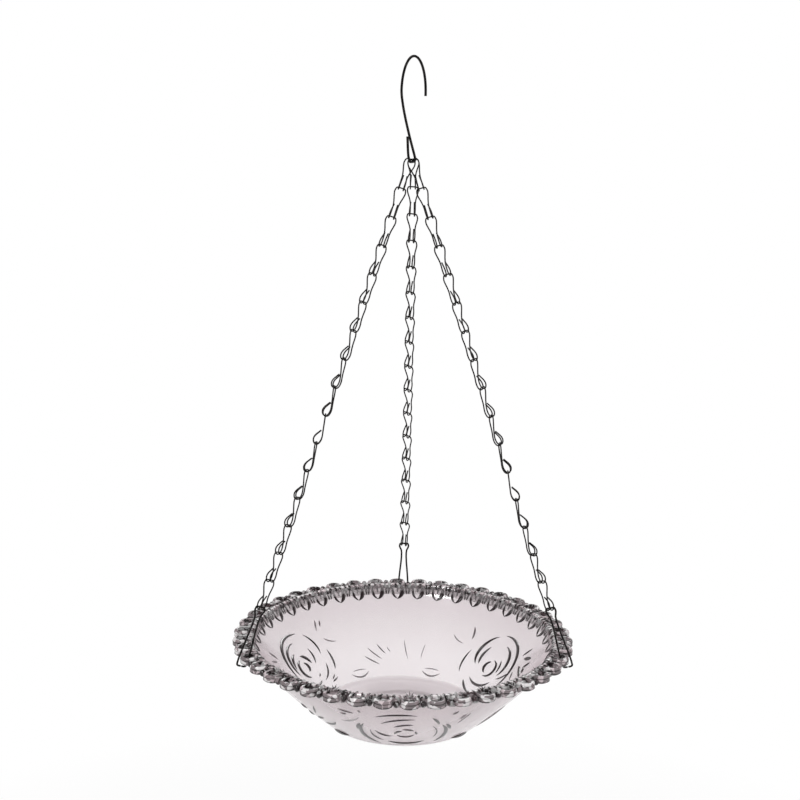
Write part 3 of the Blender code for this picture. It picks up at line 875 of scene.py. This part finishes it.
# Drops inside the lip, in millimetres: start above the wall's top, half width, length, and widths of the
# stroke on each side
TOOTH_TOP = -0.5
TOOTH_HALF = 4.0
TOOTH_LENGTH = 10.5
TOOTH_WIDTHS = {-1: 3.5, 1: 2.1}
TOOTH_POINTS = 11
# Ribs on both sides of a drop: distance from its middle, spread, length and width; and one in its middle
SIDE_RIB = 6.6
SIDE_RIB_SPREAD = 0.8
SIDE_RIB_LENGTH = 6.5
SIDE_RIB_WIDTH = 1.8
MIDDLE_RIB_LENGTH = 5.0
MIDDLE_RIB_WIDTH = 1.6


def on_wall(x, s, rise):
    """Point on the wall, x mm round it from angle 0 and s down the slope, raised from the surface."""
    p, out = wall_points(s)
    p = p + out * rise[..., None]
    angle = x / p[..., 0]
    return np.stack([p[..., 0] * np.cos(angle), p[..., 0] * np.sin(angle), p[..., 1]], -1)


def stroke(x, y, width, height=STROKE_HEIGHT, inside=True):
    """Raised stroke along a line on the wall: an ellipse section that swells as a power of a sine along it.

    x runs round the wall and y down its slope, in mm, on its inner face or else on its outer one.
    """
    t = np.clip(np.linspace(0, 1, len(x)), STROKE_END, 1 - STROKE_END)
    swell = np.sin(math.pi * t)[:, None] ** STROKE_FULLNESS
    dx, dy = np.gradient(x), np.gradient(y)
    length = np.hypot(dx, dy)
    turn = np.linspace(0, 2 * math.pi, STROKE_SIDES, endpoint=False)
    across = np.cos(turn) * width / 2 * swell
    rise = np.sin(turn) * height * swell - (BOWL_WALL if inside else 0.0)
    round_wall = x[:, None] - (dy / length)[:, None] * across
    down_wall = y[:, None] + (dx / length)[:, None] * across
    points = on_wall(round_wall, down_wall / SLOPE, rise).reshape(-1, 3)
    return points, tube_faces(len(x), STROKE_SIDES)


def petal(heart, inside, near, far, start, end, bend, width):
    """Arc of a rose petal about the heart of the flower: its radius goes from near to far as t**bend does.

    The angles run from the right and upwards, as seen from inside the bowl.
    """
    t = np.linspace(0, 1, PETAL_POINTS)
    a = np.radians(start + (end - start) * t)
    r = near + (far - near) * t**bend
    return stroke(-r * np.cos(a), heart - r * np.sin(a), width, inside=inside)


def line(x0, y0, x1, y1, bow, width, inside):
    """Stroke between two places, bowed as a parabola."""
    t = np.linspace(0, 1, LINE_POINTS)
    length = math.hypot(x1 - x0, y1 - y0)
    nx, ny = -(y1 - y0) / length, (x1 - x0) / length
    b = bow * 4 * t * (1 - t)
    return stroke(x0 + (x1 - x0) * t + nx * b, y0 + (y1 - y0) * t + ny * b, width, inside=inside)


def sprigs(angles, strokes, inside=False):
    """The same strokes at each of some angles round the wall."""
    return spun(*joined([line(*leaf, inside) for leaf in strokes]), np.radians(angles))


def roses():
    """Open roses, 52 mm tall: petals that wrap round a small curl, heavy on one side."""
    shapes = []
    for angle, heart, petals, _, inside in ROSES:
        rose = joined([petal(heart, inside, *arc) for arc in petals])
        shapes.append(spun(*rose, [math.radians(angle)]))
    return joined(shapes)


def leaf_tips():
    """Thick, straight strokes under the front rose."""
    x = np.linspace(-TIP_HALF, TIP_HALF, LINE_POINTS)
    tip = stroke(x, TIP_DEPTH + 0 * x, TIP_WIDTH, TIP_HEIGHT, inside=False)
    return spun(*tip, np.radians(TIP_ANGLES))


def dark_relief():
    """Roses, leaf tips and the darker leaves."""
    spray = sprigs([RIGHT_ROSE_ANGLE], RIGHT_SPRAY, inside=True)
    return joined([roses(), leaf_tips(), spray, sprigs([LEFT_SPRIG_ANGLE], LEFT_SPRIG)])


def fan_rays():
    """Strokes of a fan, which spread from a point at the floor, in the form of the leaves."""
    turn, near, far, width = np.array(FAN_RAYS).T
    x, y = np.sin(np.radians(turn)), -np.cos(np.radians(turn))
    cx, cy = FAN_CENTRE
    bow = np.full(len(turn), FAN_BOW)
    return np.stack([cx + near * x, cy + near * y, cx + far * x, cy + far * y, bow, width], 1)


def pale_relief():
    """Fans, ovals, leaves beside the roses and the sprig on the right."""
    shapes = [sprigs(FAN_ANGLES, fan_rays(), inside=True), sprigs(OVAL_ANGLES, OVAL)]
    shapes += [sprigs([angle], leaves, inside) for angle, _, _, leaves, inside in ROSES]
    shapes.append(sprigs([RIGHT_SPRIG_ANGLE], RIGHT_SPRIG))
    return joined(shapes)


def rim_teeth():
    """Drops inside the lip, under a lace loop: two upright strokes that close below as t**4, and ribs."""
    t = np.linspace(0, 1, TOOTH_POINTS)
    shapes = []
    for side, width in TOOTH_WIDTHS.items():
        shapes.append(stroke(side * TOOTH_HALF * (1 - t**4), TOOTH_TOP + TOOTH_LENGTH * t, width))
        beside = side * (SIDE_RIB + SIDE_RIB_SPREAD * t)
        shapes.append(stroke(beside, TOOTH_TOP + SIDE_RIB_LENGTH * t, SIDE_RIB_WIDTH))
    shapes.append(stroke(0 * t, TOOTH_TOP + MIDDLE_RIB_LENGTH * t, MIDDLE_RIB_WIDTH))
    return joined(shapes)


# How squarely a face of the lace looks into a hole to take the dark glass of painted shade, as a cosine
HOLE_FACING = 0.55
# Numbers of the shell's glasses, in the order of its materials
CLEAR, LIP, FLOOR, PAINTED_SHADE_ZONE = range(4)
# Reach of the glasses, in millimetres: the dark one of painted shade inside the bead, the floor's past the
# shoulder and up
PAINTED_SHADE_INSET = 0.2
FLOOR_PAST = 1.0
FLOOR_UP = 3.0


def hole_shade_faces(middle, normal):
    """1 for the faces of the lace that look into a hole or a gap of it, which take the dark glass as painted
    shade.
    """
    turn = np.arctan2(middle[:, 1], middle[:, 0])
    nearest = LACE_PHASE + LACE_STEP * np.round((turn - LACE_PHASE) / LACE_STEP)
    hole = np.stack([np.cos(nearest), np.sin(nearest), 0 * turn], 1) * SIDE_BAR_RADIUS
    towards = (hole - middle) * [1, 1, 0]
    towards /= np.linalg.norm(towards, axis=1)[:, None]
    return np.where((normal * towards).sum(1) > HOLE_FACING, 1, 0)


def shell_zone(middle, _):
    """Glass of the shell's faces: the lip, its side towards the lace in dark glass as painted shade, the
    thick floor in darker glass as painted shade, or the clear wall.
    """
    r = np.hypot(middle[:, 0], middle[:, 1])
    zone = np.where(r > LIP_RADIUS, LIP, CLEAR)
    zone = np.where(r > BEAD_RADIUS - PAINTED_SHADE_INSET, PAINTED_SHADE_ZONE, zone)
    in_floor = (r < SHOULDER_RADIUS + FLOOR_PAST) & (middle[:, 2] < FLOOR_Z + FLOOR_UP)
    return np.where(in_floor, FLOOR, zone)


def make_bowl():
    """Glass shell, lace rim and everything moulded on them."""
    glass = {name: pressed_glass(f"pressed_glass_{name}", *finish) for name, finish in GLASS.items()}
    # The dark glass of the lace lines, lip ribs, stars, knots and the lace's hole faces, and the dark rose
    # and leaf glass of the relief and teeth, is painted shade
    painted_shade, cut = [glass["painted_shade"]], [glass["rose"]]
    shell_glass = [glass["clear"], glass["lip"], glass["floor"], glass["painted_shade"]]
    bowl = show_glass("bowl_shell", turned(bowl_profile(), SHELL_STEPS), shell_glass)
    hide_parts("glass_bowl")
    paint(bowl, shell_zone)
    loops = LACE_PHASE + LACE_STEP * np.arange(LACE_COUNT)
    lace = show_glass("lace_rim", spun(*lace_loop(), loops), [glass["lace"], glass["painted_shade"]])
    paint(lace, hole_shade_faces)
    show_glass("lace_lines", spun(*lace_lines(), loops), painted_shade)
    show_glass("lip_ribs", spun(*lip_ribs(), loops), painted_shade)
    show_glass("lace_stars", spun(*lace_star(), loops[::STAR_EVERY]), painted_shade)
    show_glass("lace_knots", lace_knots(loops + LACE_STEP / 2), painted_shade)
    show_glass("rim_teeth", spun(*rim_teeth(), loops), cut)
    show_glass("rose_relief", dark_relief(), cut)
    show_glass("leaf_relief", pale_relief(), [glass["leaf"]])


# Camera: place about the rim's middle in millimetres, angles in degrees, lens and sensor in millimetres
CAMERA_PLACE = (-5.34, -1057.3, 413.2)
CAMERA_DOWN = 12.471
CAMERA_ROLL = 1.065
CAMERA_LENS = 68.38
CAMERA_SENSOR = 36.0
# How far the camera sees, in metres
CAMERA_REACH = 50.0
# Lamps: place, target and width in metres, and power in watts
LAMPS = {
    "key": ((-0.7, -0.9, 0.9), (0, 0, -0.35), 0.5, 20),
    "fill": ((1.1, -0.6, 0.2), (0, 0, -0.35), 1.0, 5),
    "rim": ((0.2, 1.2, 0.6), (0, 0, -0.4), 0.8, 10),
}
# Studio that mirrors and glass see: places from straight down to straight up, and colours
STUDIO = ((0.5, "#f6f6f6"), (0.8, "#898787"))
# Ground, in metres: half its size, its height, and where the shadow on it starts to fade and ends
GROUND_HALF = 8.0
GROUND_Z = -0.80
SHADOW_FULL = 0.3
SHADOW_END = 0.7
# Share of the ground's own light, and so of the shadow, that the camera sees
SHADOW_SHARE = 0.3


def set_camera():
    """Camera at the photograph's view, looking along +Y and down."""
    data = bpy.data.cameras.new("camera")
    data.sensor_width = CAMERA_SENSOR
    data.lens = CAMERA_LENS
    data.clip_end = CAMERA_REACH
    camera = bpy.data.objects.new("camera", data)
    place = Matrix.Translation((np.array(CAMERA_PLACE) + [0, 0, RIM_Z]) * MM)
    tilt = Matrix.Rotation(math.radians(90 - CAMERA_DOWN), 4, "X")
    roll = Matrix.Rotation(math.radians(CAMERA_ROLL), 4, "Z")
    camera.matrix_world = place @ tilt @ roll
    bpy.context.scene.collection.objects.link(camera)
    bpy.context.scene.camera = camera


def set_lamp(name, place, target, size, watts):
    """Square lamp that faces its target."""
    data = bpy.data.lights.new(name, "AREA")
    data.size = size
    data.energy = watts
    light = bpy.data.objects.new(name, data)
    z = unit(np.subtract(place, target))
    x = unit(np.cross([0, 0, 1], z))
    light.matrix_world = Matrix.Translation(place) @ Matrix(np.stack([x, np.cross(z, x), z], 1)).to_4x4()
    bpy.context.scene.collection.objects.link(light)


def set_world():
    """Soft studio: white for the camera; mirrors and glass see it white low down and darker overhead."""
    world = bpy.data.worlds.new("studio")
    world.use_nodes = True
    bpy.context.scene.world = world
    tree = world.node_tree
    tree.nodes.clear()
    direction = add_node(tree, "ShaderNodeTexCoord").outputs["Generated"]
    parts = add_node(tree, "ShaderNodeSeparateXYZ", links={"Vector": direction})
    reach = {"From Min": -1.0, "From Max": 1.0}
    height = add_node(tree, "ShaderNodeMapRange", reach, {"Value": parts.outputs["Z"]})
    studio = add_node(tree, "ShaderNodeValToRGB", links={"Fac": height.outputs["Result"]}, stops=STUDIO)
    rays = add_node(tree, "ShaderNodeLightPath")
    links = {0: rays.outputs["Is Camera Ray"], 6: studio.outputs["Color"]}
    mix = add_node(tree, "ShaderNodeMix", {"data_type": "RGBA", 7: (1, 1, 1, 1)}, links)
    back = add_node(tree, "ShaderNodeBackground", links={"Color": mix.outputs[2]})
    add_node(tree, "ShaderNodeOutputWorld", links={"Surface": back.outputs[0]})


def set_floor():
    """Pale ground well under the bowl, as white as the background is, with a soft shadow near the bowl.

    Rays from the camera, from a mirror or through glass meet it as white as the background.
    """
    corners = [(-1, -1), (1, -1), (1, 1), (-1, 1)]
    mesh = bpy.data.meshes.new("floor")
    mesh.from_pydata([(GROUND_HALF * x, GROUND_HALF * y, GROUND_Z) for x, y in corners], [], [(0, 1, 2, 3)])
    floor = bpy.data.objects.new("floor", mesh)
    material, tree, shader = new_material("floor_paint")
    shader.inputs["Base Color"].default_value = (*linear("#eeeeee"), 1)
    shader.inputs["Roughness"].default_value = 0.9
    rays = add_node(tree, "ShaderNodeLightPath")
    camera_ray = rays.outputs["Is Camera Ray"]
    seen = camera_ray
    for kind in ("Is Glossy Ray", "Is Transmission Ray"):
        links = {0: seen, 1: rays.outputs[kind]}
        seen = add_node(tree, "ShaderNodeMath", {"operation": "MAXIMUM"}, links).outputs[0]
    place = add_node(tree, "ShaderNodeTexCoord").outputs["Object"]
    away = add_node(tree, "ShaderNodeVectorMath", {"operation": "LENGTH"}, {0: place})
    fade = {
        "From Min": math.hypot(GROUND_Z, SHADOW_FULL),
        "From Max": math.hypot(GROUND_Z, SHADOW_END),
        "To Min": SHADOW_SHARE,
        "To Max": 0.0,
    }
    lit = add_node(tree, "ShaderNodeMapRange", fade, {"Value": away.outputs["Value"]})
    lit = add_node(tree, "ShaderNodeMath", {"operation": "MULTIPLY"}, {0: lit.outputs[0], 1: camera_ray})
    share = add_node(tree, "ShaderNodeMath", {"operation": "SUBTRACT"}, {0: seen, 1: lit.outputs[0]})
    white = add_node(tree, "ShaderNodeEmission", {"Color": (1, 1, 1, 1), "Strength": 1.0})
    links = {0: share.outputs[0], 1: shader.outputs[0], 2: white.outputs[0]}
    mix = add_node(tree, "ShaderNodeMixShader", links=links)
    tree.links.new(mix.outputs[0], tree.nodes["Material Output"].inputs["Surface"])
    mesh.materials.append(material)
    bpy.context.scene.collection.objects.link(floor)


bpy.context.scene.view_settings.view_transform = "Standard"
set_camera()
set_world()
set_floor()
for lamp_name, lamp in LAMPS.items():
    set_lamp(lamp_name, *lamp)
make_bowl()
make_wires()
